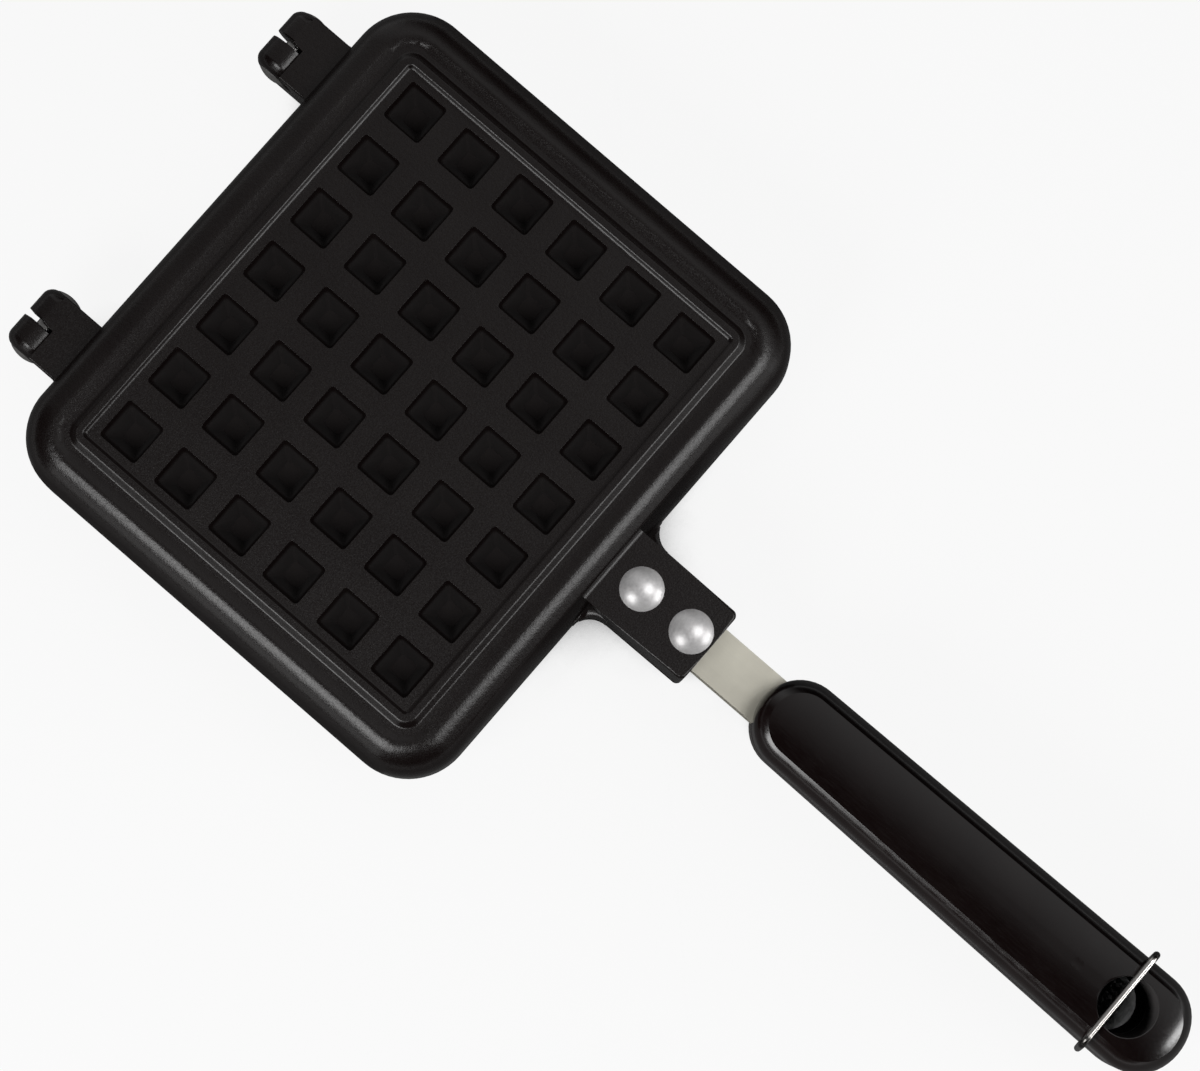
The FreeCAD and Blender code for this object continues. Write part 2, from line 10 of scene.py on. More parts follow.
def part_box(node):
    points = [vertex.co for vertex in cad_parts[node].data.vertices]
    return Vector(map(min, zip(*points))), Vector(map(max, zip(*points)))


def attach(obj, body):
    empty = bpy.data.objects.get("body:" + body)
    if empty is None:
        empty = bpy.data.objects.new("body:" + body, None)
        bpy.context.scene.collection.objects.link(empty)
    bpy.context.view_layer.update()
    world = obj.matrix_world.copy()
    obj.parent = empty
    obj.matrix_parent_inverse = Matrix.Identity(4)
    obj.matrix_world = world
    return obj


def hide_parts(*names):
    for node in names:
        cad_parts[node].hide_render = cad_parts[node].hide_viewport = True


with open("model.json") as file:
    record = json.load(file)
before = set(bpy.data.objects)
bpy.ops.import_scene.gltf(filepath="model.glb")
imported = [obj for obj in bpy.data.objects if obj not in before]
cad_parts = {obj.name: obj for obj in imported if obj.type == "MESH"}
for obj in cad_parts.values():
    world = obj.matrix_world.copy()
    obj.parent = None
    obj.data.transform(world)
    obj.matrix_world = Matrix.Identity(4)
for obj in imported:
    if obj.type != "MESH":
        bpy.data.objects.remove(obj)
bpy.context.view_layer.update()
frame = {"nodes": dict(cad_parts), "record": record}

MM = 0.001
nodes = frame["nodes"]
body_of = {node: body for body, group in frame["record"]["behaviour"]["bodies"].items() for node in group}

# Camera, from the photograph's perspective
CAMERA_PLACE = Vector((-0.0536, -0.0085, 0.7422))
CAMERA_TARGET = Vector((0.0030, 0.0219, 0.0280))
CAMERA_TOP = Vector((math.sin(math.radians(49.2)), math.cos(math.radians(49.2)), 0.0))
FOCAL_LENGTH = 90.0
SENSOR_WIDTH = 36.0

# Shapes that are finer than the solids: the castings
PARTING_HEIGHT = 14.6 * MM
PAN_MIDDLE = 79.9 * MM
PAN_HALF_DEPTH = 66.75 * MM
GRID_HALF_WIDTH = 59.0 * MM
GRID_HALF_DEPTH = 51.0 * MM
POCKETS_HALF_WIDTH = 58.0 * MM
POCKETS_HALF_DEPTH = 50.5 * MM
WALL_DEPTH = 0.5 * MM
LUG_REACH = 58.0 * MM
CAST_ROUND = 0.45 * MM
CLOSING_DEPTH = 0.2 * MM
PEG_EDGES_BELOW = 4.0 * MM
PEG_SIDE_LENGTH = 4.0 * MM
POCKET_CORNER = 0.9 * MM
POCKET_EDGES_FROM = 13.3 * MM
MOUTH_ROUND = 0.25 * MM
RIDGE_EDGES_FROM = 13.5 * MM
RIDGE_ROUND = 0.3 * MM
EAR_ROUND = 0.95 * MM
EAR_BREAK = 0.12 * MM
EAR_REACH = 7.2 * MM
EAR_RADIUS = 5.95 * MM
LUG_CORNER = 0.9 * MM
LUG_ROUND = 0.5 * MM
LUG_EDGE_LENGTH = 2.0 * MM
LUG_ROOT = 1.0 * MM
TANG_ROUND = 0.8 * MM
TANG_TOP = 11.2 * MM
TANG_FLARE = 0.1
TANG_ROOT_GAP = 0.4 * MM
TANG_BED_GAP = 1.0 * MM
JOIN_DISTANCE = 0.002 * MM
MERGE_DISTANCE = 0.005 * MM
SAME_LEVEL = 0.05 * MM

# Rivets, pins and strips
RIVET_HEAD_HEIGHT = 2.7 * MM
RIVET_TAIL_HEIGHT = 1.3 * MM
RIVET_TAIL_RADIUS = 4.0 * MM
RIVET_TAIL_ROUND = 0.3 * MM
RIVET_SHANK_RADIUS = 2.5 * MM
PIN_HEAD_HEIGHT = 0.9 * MM
PIN_SHANK_RADIUS = 2.5 * MM
STRIP_ROUND = 0.3 * MM
STRIP_WIDTH = 13.2 * MM
STRIP_LEVEL = 2.0 * MM
STRIP_THICKNESS = 2.1 * MM
STRIP_SETBACK = 29.3 * MM

# Handles
HANDLE_FRONT_RADIUS = 11.25 * MM
CROWN_RADIUS = 50.0 * MM
SHOULDER_WIDTH = 3.3 * MM
SHOULDER_RADIUS = 5.0 * MM
HANDLE_FOOT_ROUND = 0.5 * MM
HANDLE_FOOT_BREAK = 0.15 * MM
EYE_RADIUS = 7.25 * MM
EYE_ROUND = 0.7 * MM
EYE_SETBACK = 18.3 * MM
SEAT_AHEAD = 1.3 * MM
SEAT_BEHIND = 2.2 * MM
SEAT_DEPTH = 0.4 * MM
MARK_RADIUS = 1.5 * MM
MARK_DEPTH = 0.07 * MM
MARK_EDGE_DEPTH = 0.02 * MM
MARK_SETBACK = 34.0 * MM
CUT_CLEARANCE = 1.0 * MM
CUT_OVERLAP = 0.05 * MM
RING_MERGE = 0.001 * MM

# Bail
PIVOT_DROP = 9.5 * MM
PIVOT_SETBACK = 16.9 * MM
PIVOT_RADIUS = 1.0 * MM
WIRE_RADIUS = 0.9 * MM
WIRE_GAP = 0.3 * MM
BAIL_END_BEND = 0.6 * MM
BAIL_TOP_BEND = 2.6 * MM
BAIL_END_DEPTH = 4.0 * MM
BAIL_LEAN = math.radians(10.0)

# Where finishes change, and where painted shade darkens the wire
POCKET_MATT = (10.5 * MM, 12.9 * MM)
GRID_MATT = (54.0 * MM, 57.0 * MM)
JOINT_FACE_MATT = (0.6 * MM, 1.2 * MM)
EYE_MATT = (EYE_RADIUS, EYE_RADIUS + 0.4 * MM)
# Painted shade: the wire's colour darkens across this span from its middle
WIRE_PAINTED_SHADE_SPAN = (11.6 * MM, 13.2 * MM)

# Depth of the finishes' relief
GRIT_DEPTH = 0.03 * MM
PEEL_DEPTH = 0.035 * MM
SCUFF_DEPTH = 0.0003 * MM
FLOW_DEPTH = 0.006 * MM
GRAIN_DEPTH = 0.01 * MM
RIVET_HAZE_DEPTH = 0.004 * MM
DENT_DEPTH = 0.05 * MM
DRAWN_DEPTH = 0.004 * MM
PIN_HAZE_DEPTH = 0.008 * MM

# Studio
FLOOR_REACH = 3.0
SHADE_REACH = 50.0 * MM
LAMP_TARGET = Vector((0.0, 30.0 * MM, 20.0 * MM))
LAMPS = (
    # name, what it lights, bearing and tilt in degrees, size in metres, power in watts
    ("coat_left_box", "coated", 171.0, 32.0, (0.48, 0.42), 5.4),
    ("coat_right_box", "coated", -72.0, 32.0, (0.48, 0.42), 4.0),
    ("coat_left_fill", "coated", 171.0, 66.0, (0.50, 0.40), 0.9),
    ("coat_right_fill", "coated", -72.0, 66.0, (0.50, 0.40), 0.6),
    ("left_box", "uncoated", 172.5, 57.0, (0.50, 0.46), 5.0),
    ("right_box", "uncoated", -69.0, 76.0, (0.65, 0.14), 4.0),
    ("handle_box", "moulded", 172.5, 57.0, (0.50, 0.46), 18.0),
    ("metal_box", "metal", -49.0, 30.0, (0.50, 0.50), 5.2),
)


def material(name, colour, roughness, metallic=0.0, **sockets):
    """A surface with its constant values on the shader's own sockets, and the nodes to add detail with."""
    made = bpy.data.materials.new(name)
    made.use_nodes = True
    tree = made.node_tree
    shader = tree.nodes["Principled BSDF"]
    shader.inputs["Base Color"].default_value = (*colour, 1.0)
    shader.inputs["Roughness"].default_value = roughness
    shader.inputs["Metallic"].default_value = metallic
    for socket, number in sockets.items():
        shader.inputs[socket.replace("_", " ")].default_value = number
    return made, tree, shader


def place_node(tree, stretch=(1.0, 1.0, 1.0)):
    """Coordinates in metres of the row frame, stretched per axis."""
    where = tree.nodes.new("ShaderNodeTexCoord")
    mapping = tree.nodes.new("ShaderNodeMapping")
    mapping.inputs["Scale"].default_value = stretch
    tree.links.new(where.outputs["Object"], mapping.inputs["Vector"])
    return mapping.outputs["Vector"]


def noise(tree, where, per_metre, detail=3.0, rough=0.55):
    """A noise field with that many features per metre."""
    field = tree.nodes.new("ShaderNodeTexNoise")
    field.inputs["Scale"].default_value = per_metre
    field.inputs["Detail"].default_value = detail
    field.inputs["Roughness"].default_value = rough
    tree.links.new(where, field.inputs["Vector"])
    return field.outputs["Fac"]


def spread(tree, field, low, high, start=0.3, end=0.7):
    """A field mapped to a range of values."""
    ranger = tree.nodes.new("ShaderNodeMapRange")
    for socket, number in (("From Min", start), ("From Max", end), ("To Min", low), ("To Max", high)):
        ranger.inputs[socket].default_value = number
    tree.links.new(field, ranger.inputs["Value"])
    return ranger.outputs["Result"]


def tint(tree, field, dark, light, start=0.3, end=0.7):
    """A field mapped to a range of colours."""
    ramp = tree.nodes.new("ShaderNodeValToRGB")
    ramp.color_ramp.elements[0].position = start
    ramp.color_ramp.elements[1].position = end
    ramp.color_ramp.elements[0].color = (*dark, 1.0)
    ramp.color_ramp.elements[1].color = (*light, 1.0)
    tree.links.new(field, ramp.inputs["Fac"])
    return ramp.outputs["Color"]


def bump(tree, field, depth, below=None):
    """Relief of a field, that many metres deep, on top of other relief."""
    relief = tree.nodes.new("ShaderNodeBump")
    relief.inputs["Strength"].default_value = 1.0
    relief.inputs["Distance"].default_value = depth
    tree.links.new(field, relief.inputs["Height"])
    if below is not None:
        tree.links.new(below, relief.inputs["Normal"])
    return relief.outputs["Normal"]


def maths(tree, operation, first, second=None):
    """A sum on one or two values, each a socket or a number."""
    node = tree.nodes.new("ShaderNodeMath")
    node.operation = operation
    for socket, value in zip(node.inputs, (first, second)):
        if isinstance(value, bpy.types.NodeSocket):
            tree.links.new(value, socket)
        elif value is not None:
            socket.default_value = value
    return node.outputs["Value"]


def largest(tree, *values):
    """The largest of some values."""
    result = values[0]
    for value in values[1:]:
        result = maths(tree, "MAXIMUM", result, value)
    return result


def scaled(tree, colour, share):
    """A colour times a value."""
    node = tree.nodes.new("ShaderNodeVectorMath")
    node.operation = "SCALE"
    tree.links.new(colour, node.inputs[0])
    tree.links.new(share, node.inputs["Scale"])
    return node.outputs["Vector"]


def axes(tree, where):
    """A place split into its three numbers."""
    split = tree.nodes.new("ShaderNodeSeparateXYZ")
    tree.links.new(where, split.inputs["Vector"])
    return split.outputs


def distance(tree, value, centre):
    """How far a value is from a number."""
    return maths(tree, "ABSOLUTE", maths(tree, "SUBTRACT", value, centre))


def coated_casting():
    """Sprayed non-stick coat on cast aluminium: near black, satin, with a fine orange peel."""
    made, tree, shader = material("coated_casting_finish", (0.0046, 0.0028, 0.0027), 0.22, Specular_IOR_Level=0.34)
    where = place_node(tree)
    patches = noise(tree, where, 60.0, 4.0)
    peel = noise(tree, where, 900.0, 2.0)
    grit = noise(tree, where, 2600.0, 3.0)
    place = axes(tree, where)
    in_pockets = spread(tree, distance(tree, place["Z"], PARTING_HEIGHT), 0.95, 0.0, *POCKET_MATT)
    in_grid = spread(tree, distance(tree, place["Y"], PAN_MIDDLE), 1.0, 0.0, *GRID_MATT)
    roughness = largest(tree, maths(tree, "MULTIPLY", in_pockets, in_grid), spread(tree, grit, 0.20, 0.34))
    links = tree.links
    links.new(tint(tree, patches, (0.0036, 0.0019, 0.0018), (0.0056, 0.0038, 0.0036)), shader.inputs["Base Color"])
    links.new(roughness, shader.inputs["Roughness"])
    relief = bump(tree, grit, GRIT_DEPTH, bump(tree, peel, PEEL_DEPTH))
    links.new(relief, shader.inputs["Normal"])
    return made


def handle_moulding():
    """Glossy black phenolic moulding with a faint flow waviness and hairline scuffs."""
    made, tree, shader = material("handle_moulding_finish", (0.0028, 0.0014, 0.0013), 0.18)
    where = place_node(tree)
    flow = noise(tree, where, 90.0, 2.0)
    scuffs = noise(tree, place_node(tree, (9.0, 1.0, 9.0)), 260.0, 4.0, 0.7)
    links = tree.links
    links.new(tint(tree, flow, (0.0022, 0.00095, 0.0009), (0.0034, 0.0019, 0.0018)), shader.inputs["Base Color"])
    from_eye = tree.nodes.new("ShaderNodeVectorMath")
    from_eye.operation = "DISTANCE"
    from_eye.inputs[1].default_value = (0.0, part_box("upper_handle")[0].y + EYE_SETBACK, 0.0)
    links.new(place_node(tree, (1.0, 1.0, 0.0)), from_eye.inputs[0])
    joint_face = spread(tree, distance(tree, axes(tree, where)["Z"], PARTING_HEIGHT), 0.6, 0.0, *JOINT_FACE_MATT)
    in_eye = spread(tree, from_eye.outputs["Value"], 0.8, 0.0, *EYE_MATT)
    roughness = largest(tree, joint_face, in_eye, spread(tree, scuffs, 0.14, 0.25, 0.35, 0.75))
    links.new(roughness, shader.inputs["Roughness"])
    relief = bump(tree, scuffs, SCUFF_DEPTH, bump(tree, flow, FLOW_DEPTH))
    links.new(relief, shader.inputs["Normal"])
    return made


def strip_steel():
    """Flat steel strip, brushed along its length, with a dull zinc bloom."""
    made, tree, shader = material("strip_steel_finish", (0.50, 0.48, 0.41), 0.6, metallic=0.3)
    grain = noise(tree, place_node(tree, (60.0, 1.0, 60.0)), 90.0, 4.0, 0.7)
    cloud = noise(tree, place_node(tree), 140.0, 3.0)
    links = tree.links
    links.new(tint(tree, cloud, (0.47, 0.45, 0.385), (0.53, 0.51, 0.435)), shader.inputs["Base Color"])
    links.new(spread(tree, grain, 0.5, 0.68), shader.inputs["Roughness"])
    links.new(bump(tree, grain, GRAIN_DEPTH), shader.inputs["Normal"])
    return made


def rivet_aluminium():
    """Aluminium with the soft dents of the setting punch and a satin haze."""
    made, tree, shader = material("rivet_aluminium_finish", (0.56, 0.55, 0.55), 0.42, metallic=0.5)
    where = place_node(tree)
    dents = noise(tree, where, 330.0, 2.0)
    haze = noise(tree, where, 1500.0, 4.0)
    links = tree.links
    links.new(tint(tree, haze, (0.51, 0.50, 0.50), (0.61, 0.60, 0.60)), shader.inputs["Base Color"])
    links.new(spread(tree, haze, 0.36, 0.48), shader.inputs["Roughness"])
    links.new(bump(tree, haze, RIVET_HAZE_DEPTH, bump(tree, dents, DENT_DEPTH)), shader.inputs["Normal"])
    return made


def wire_steel():
    """Drawn, nickel-plated wire, with painted shade darkening its colour toward the sides: the top bends, the legs
    and the ends.
    """
    made, tree, shader = material("wire_steel_finish_with_painted_shade", (0.55, 0.53, 0.51), 0.22, metallic=1.0)
    where = place_node(tree)
    drawn = noise(tree, place_node(tree, (1.0, 30.0, 30.0)), 60.0, 3.0)
    # Painted shade: the colour falls to a tenth beyond the top bends, over the legs and ends.
    painted_shade_at_sides = spread(tree, distance(tree, axes(tree, where)["X"], 0.0), 1.0, 0.1, *WIRE_PAINTED_SHADE_SPAN)
    plated = tint(tree, drawn, (0.50, 0.48, 0.46), (0.62, 0.60, 0.58))
    links = tree.links
    links.new(scaled(tree, plated, painted_shade_at_sides), shader.inputs["Base Color"])
    links.new(spread(tree, drawn, 0.16, 0.30), shader.inputs["Roughness"])
    links.new(bump(tree, drawn, DRAWN_DEPTH), shader.inputs["Normal"])
    return made


def pin_steel():
    """Turned steel pin with a zinc coat."""
    made, tree, shader = material("steel_pin_finish", (0.50, 0.49, 0.48), 0.38, metallic=1.0)
    haze = noise(tree, place_node(tree), 1300.0, 4.0)
    links = tree.links
    links.new(tint(tree, haze, (0.42, 0.41, 0.40), (0.56, 0.55, 0.54)), shader.inputs["Base Color"])
    links.new(spread(tree, haze, 0.30, 0.46), shader.inputs["Roughness"])
    links.new(bump(tree, haze, PIN_HAZE_DEPTH), shader.inputs["Normal"])
    return made


FINISHES = {
    "coated_casting": coated_casting(),
    "steel_pin": pin_steel(),
    "strip_steel": strip_steel(),
    "rivet_aluminium": rivet_aluminium(),
    "handle_moulding": handle_moulding(),
    "wire_steel": wire_steel(),
}


def stand_in(node, slot, mesh, sharp_degrees=32.0):
    """Put a mesh in the place of a CAD node, with the slot's finish and smooth shading up to an angle."""
    piece = bpy.data.objects.new(f"{node}_dressed", mesh)
    bpy.context.scene.collection.objects.link(piece)
    mesh.materials.clear()
    mesh.materials.append(FINISHES[slot])
    mesh.shade_smooth()
    mesh.set_sharp_from_angle(angle=math.radians(sharp_degrees))
    weighted = piece.modifiers.new("weighted", "WEIGHTED_NORMAL")
    weighted.keep_sharp = True
    weighted.weight = 100
    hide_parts(node)
    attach(piece, body_of[node])
    return piece


def new_mesh(name, work):
    """A mesh from a bmesh, with its faces turned outward."""
    bmesh.ops.recalc_face_normals(work, faces=work.faces)
    mesh = bpy.data.meshes.new(name)
    work.to_mesh(mesh)
    work.free()
    return mesh


def clean_solid(node):
    """A node's solid as a bmesh with its split corners joined and its flat faces whole."""
    work = bmesh.new()
    work.from_mesh(nodes[node].data)
    bmesh.ops.remove_doubles(work, verts=work.verts, dist=JOIN_DISTANCE)
    bmesh.ops.dissolve_limit(work, angle_limit=math.radians(0.6), verts=work.verts, edges=work.edges)
    return work


def sharp_edges(work, degrees):
    """The edges that turn by more than an angle."""
    limit = math.radians(degrees)
    return [edge for edge in work.edges if len(edge.link_faces) == 2 and edge.calc_face_angle(0.0) > limit]


def soften(work, edges, width, steps, limited=True):
    """Round edges. A limited rounding shrinks as a whole where the shortest edge has no room for it."""
    bmesh.ops.bevel(
        work, geom=[edge for edge in edges if edge.is_valid], offset=width, offset_type="OFFSET", segments=steps,
        profile=0.5, affect="EDGES", clamp_overlap=limited, harden_normals=False,
    )


def in_order(work):
    """Sort a bmesh by place, so that every run writes it alike."""
    for items, place in ((work.verts, lambda vert: vert.co), (work.faces, lambda face: face.calc_center_median())):
        items.index_update()
        ranked = sorted(items, key=lambda item: tuple(round(part, 7) for part in place(item)))
        rank = {item.index: number for number, item in enumerate(ranked)}
        items.sort(key=lambda item: rank[item.index])


def casting(node, side):
    """A pan half with the round corners and edges of a casting, and the draft of its tang."""
    work = clean_solid(node)
    up = 1.0 if side == "upper" else -1.0
    pin_low, pin_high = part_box("hinge_pin_left")
    pin_y = (pin_low.y + pin_high.y) / 2
    pan_front = PAN_MIDDLE - PAN_HALF_DEPTH
    pan_back = PAN_MIDDLE + PAN_HALF_DEPTH

    def height(place):
        """How far a place is from the parting plane, outward."""
        return up * (place.z - PARTING_HEIGHT)

    def about_pin(place):
        """Whether a place is on one of the hinge ears."""
        return math.hypot(place.y - pin_y, place.z - PARTING_HEIGHT) < EAR_REACH

    def over_grid(place):
        """Whether a place is within the field of pegs."""
        return abs(place.x) < GRID_HALF_WIDTH and abs(place.y - PAN_MIDDLE) < GRID_HALF_DEPTH

    def over_pockets(place):
        """Whether a place is within the field of pockets, inside the foot of the ridge."""
        return abs(place.x) < POCKETS_HALF_WIDTH and abs(place.y - PAN_MIDDLE) < POCKETS_HALF_DEPTH

    def chosen(degrees, fits):
        """The edges that turn by more than an angle and whose ends both fit."""
        return [edge for edge in sharp_edges(work, degrees) if all(fits(vert.co) for vert in edge.verts)]

    def middle(edge):
        """The place halfway along an edge."""
        return (edge.verts[0].co + edge.verts[1].co) / 2

    def run(edge):
        """The way from one end of an edge to the other."""
        return edge.verts[1].co - edge.verts[0].co

    # The tang's sides lean outward, downward from its top
    for vert in work.verts:
        if vert.co.y < pan_front - TANG_ROOT_GAP and abs(vert.co.x) > STRIP_WIDTH / 2 + TANG_BED_GAP:
            vert.co.x += math.copysign(max(TANG_TOP - height(vert.co), 0.0) * TANG_FLARE, vert.co.x)

    upright = [edge for edge in work.edges if abs(run(edge).z) > 0.8 * run(edge).length]
    standing = [edge for edge in upright if run(edge).length > PEG_SIDE_LENGTH and over_grid(middle(edge))]
    corners = [
        edge for edge in upright
        if abs(middle(edge).y - pan_back) < WALL_DEPTH and run(edge).length > LUG_EDGE_LENGTH
        and abs(middle(edge).x) < LUG_REACH
    ]
    soften(work, standing, POCKET_CORNER, 3)
    soften(work, corners, LUG_CORNER, 3)

    ridges = chosen(28.0, lambda place: place.y > pan_front and height(place) > RIDGE_EDGES_FROM)
    soften(work, ridges, RIDGE_ROUND, 3, limited=False)
    mouths = chosen(40.0, lambda place: over_pockets(place) and height(place) > POCKET_EDGES_FROM)
    soften(work, mouths, MOUTH_ROUND, 4)

    lug_edges = chosen(60.0, lambda place: place.y > pan_back - LUG_ROOT
                       and abs(height(place) - EAR_RADIUS) < SAME_LEVEL)
    lug_sides = [edge for edge in lug_edges if abs(run(edge).y) > LUG_EDGE_LENGTH]
    soften(work, lug_sides, LUG_ROUND, 3, limited=False)

    rims = []
    breaks = []
    for edge in chosen(28.0, about_pin):
        slanted = math.radians(30.0) < edge.calc_face_angle(0.0) < math.radians(60.0)
        (rims if slanted else breaks).append(edge)
    soften(work, breaks, EAR_BREAK, 1)
    soften(work, rims, EAR_ROUND, 3, limited=False)

    tang_tops = chosen(28.0, lambda place: place.y < pan_front and abs(height(place) - TANG_TOP) < SAME_LEVEL)
    shoulders = [edge for edge in tang_tops if abs(middle(edge).x) > STRIP_WIDTH / 2]
    soften(work, shoulders, TANG_ROUND, 4)

    pegs = chosen(28.0, lambda place: over_grid(place) and height(place) < PEG_EDGES_BELOW)
    soften(work, pegs, CAST_ROUND, 4)
    closing = chosen(28.0, lambda place: abs(height(place)) < CLOSING_DEPTH and pan_front < place.y < pan_back)
    soften(work, closing, CAST_ROUND, 4)
    rest = [edge for edge in sharp_edges(work, 28.0) if not all(about_pin(vert.co) for vert in edge.verts)]
    soften(work, rest, CAST_ROUND, 3)
    bmesh.ops.remove_doubles(work, verts=work.verts, dist=MERGE_DISTANCE)
    bmesh.ops.dissolve_degenerate(work, edges=work.edges, dist=MERGE_DISTANCE)
    in_order(work)
    stand_in(node, "coated_casting", new_mesh(node, work), 40.0)


def strip(node):
    """The steel strip with broken edges."""
    work = clean_solid(node)
    soften(work, sharp_edges(work, 50.0), STRIP_ROUND, 2)
    stand_in(node, "strip_steel", new_mesh(node, work))


def arc(centre_across, centre_up, radius, start_degrees, end_degrees, steps):
    """Places on an arc, angles counted from straight across."""
    places = []
    for step in range(steps + 1):
        angle = math.radians(start_degrees + (end_degrees - start_degrees) * step / steps)
        places.append((centre_across + radius * math.cos(angle), centre_up + radius * math.sin(angle)))
    return places


def dome(radius, height, foot, steps=10):
    """The outline of a domed head from its rim to its crown, as (out, along) places."""
    bulge = (radius ** 2 + height ** 2) / (2 * height)
    rim = math.degrees(math.acos(radius / bulge))
    return arc(0.0, foot + height - bulge, bulge, rim, 90.0, steps)


def turned(name, outline, place, steps=96):
    """A solid of revolution: (out, along) places about an axis, put in place by a matrix."""
    work = bmesh.new()
    rows = []
    for out, along in outline:
        if out < 1e-7:
            rows.append([work.verts.new(place @ Vector((0, 0, along)))])
            continue
        row = []
        for step in range(steps):
            angle = 2 * math.pi * step / steps
            row.append(work.verts.new(place @ Vector((out * math.cos(angle), out * math.sin(angle), along))))
        rows.append(row)
    for first, second in zip(rows, rows[1:]):
        for step in range(steps):
            after = (step + 1) % steps
            if len(first) == 1:
                work.faces.new((first[0], second[step], second[after]))
            elif len(second) == 1:
                work.faces.new((first[step], first[after], second[0]))
            else:
                work.faces.new((first[step], first[after], second[after], second[step]))
    return new_mesh(name, work)


def rivet(node, side):
    """A rivet: its domed head outward and its flat tail under the strip."""
    low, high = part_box(node)
    centre = (low + high) / 2
    length = high.z - low.z
    head_radius = (high.x - low.x) / 2
    foot = length / 2 - RIVET_HEAD_HEIGHT
    tail_foot = length / 2 - RIVET_TAIL_HEIGHT
    head = dome(head_radius, RIVET_HEAD_HEIGHT, foot)
    tail = [(0.0, -length / 2)]
    tail += arc(RIVET_TAIL_RADIUS - RIVET_TAIL_ROUND, RIVET_TAIL_ROUND - length / 2, RIVET_TAIL_ROUND, -90.0, 0.0, 4)
    tail.append((RIVET_TAIL_RADIUS, -tail_foot))
    shank = [(RIVET_SHANK_RADIUS, -tail_foot), (RIVET_SHANK_RADIUS, foot)]
    place = Matrix.Translation(centre)
    if side == "lower":
        place = place @ Matrix.Rotation(math.pi, 4, "Y")
    stand_in(node, "rivet_aluminium", turned(node, tail + shank + head, place))


def hinge_pin(node):
    """A pin with a low domed head on each end."""
    low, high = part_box(node)
    place = Matrix.Translation((low + high) / 2) @ Matrix.Rotation(math.pi / 2, 4, "Y")
    foot = (high.x - low.x) / 2 - PIN_HEAD_HEIGHT
    head = dome((high.y - low.y) / 2, PIN_HEAD_HEIGHT, foot)
    tail = [(out, -along) for out, along in reversed(head)]
    shank = [(PIN_SHANK_RADIUS, -foot), (PIN_SHANK_RADIUS, foot)]
    stand_in(node, "steel_pin", turned(node, tail + shank + head, place, 64))


def handle_loop(front_y, tip_y, front_radius, rear_radius, inset, turns=24, runs=40):
    """The handle's plan outline, moved inward: two round ends and their common tangents."""
    front = front_y - front_radius
    rear = tip_y + rear_radius
    lean = math.asin((rear_radius - front_radius) / (front - rear))
    places = []
    for step in range(turns + 1):
        angle = -lean + (math.pi + 2 * lean) * step / turns
        out = max(front_radius - inset, 0.0)
        places.append(Vector((out * math.cos(angle), front + out * math.sin(angle), 0)))
    rear_out = max(rear_radius - inset, 0.0)
    rear_ring = []
    for step in range(turns + 1):
        angle = math.pi + lean + (math.pi - 2 * lean) * step / turns
        rear_ring.append(Vector((rear_out * math.cos(angle), rear + rear_out * math.sin(angle), 0)))
    left = [places[-1].lerp(rear_ring[0], step / runs) for step in range(1, runs)]
    right = [rear_ring[-1].lerp(places[0], step / runs) for step in range(1, runs)]
    return places + left + rear_ring + right


def handle_block(name, front_y, tip_y, half_width, foot, top):
    """A handle half as one closed mesh, drawn with the parting plane at height zero: its wall, the round
    shoulder up to a crease, the crowned top and the tip that bends down about the bail's pivot."""
    pivot_y = tip_y + PIVOT_SETBACK
    sweep = top + PIVOT_DROP

    def lid(place):
        """The height of the crowned top over a place."""
        crown = CROWN_RADIUS - math.sqrt(CROWN_RADIUS ** 2 - place.x ** 2)
        beyond = max(pivot_y - place.y, 0.0)
        return math.sqrt(sweep ** 2 - beyond ** 2) - PIVOT_DROP - crown

    crease = math.asin((SHOULDER_RADIUS - SHOULDER_WIDTH) / SHOULDER_RADIUS)
    drop = SHOULDER_RADIUS * math.cos(crease)
    rows = []
    foot_steps = ((HANDLE_FOOT_ROUND, 0.0), (HANDLE_FOOT_BREAK, HANDLE_FOOT_BREAK), (0.0, HANDLE_FOOT_ROUND))
    for inset, up in foot_steps:
        rows.append((inset, lambda place, up=up: foot + up))
    for share in (0.25, 0.5, 0.75):
        rows.append((0.0, lambda place, share=share: foot + HANDLE_FOOT_ROUND
                     + share * (lid(place) - drop - foot - HANDLE_FOOT_ROUND)))
    steps = 10
    for step in range(steps + 1):
        angle = (math.pi / 2 - crease) * step / steps
        inset = SHOULDER_RADIUS * (1 - math.cos(angle))
        rows.append((inset, lambda place, angle=angle: lid(place) - drop + SHOULDER_RADIUS * math.sin(angle)))
    flats = 12
    for step in range(1, flats + 1):
        inset = SHOULDER_WIDTH + (HANDLE_FRONT_RADIUS - SHOULDER_WIDTH) * step / flats
        rows.append((inset, lid))

    work = bmesh.new()
    loops = []
    for inset, height in rows:
        loop = []
        for place in handle_loop(front_y, tip_y, HANDLE_FRONT_RADIUS, half_width, inset):
            loop.append(work.verts.new((place.x, place.y, height(place))))
        loops.append(loop)
    count = len(loops[0])
    for first, second in zip(loops, loops[1:]):
        for step in range(count):
            after = (step + 1) % count
            work.faces.new((first[step], first[after], second[after], second[step]))
    work.faces.new(loops[0])
    last = loops[-1]
    work.faces.new(last)
    bmesh.ops.remove_doubles(work, verts=work.verts, dist=RING_MERGE)
    bmesh.ops.triangulate(work, faces=[face for face in work.faces if len(face.verts) > 4])
    return new_mesh(name, work)


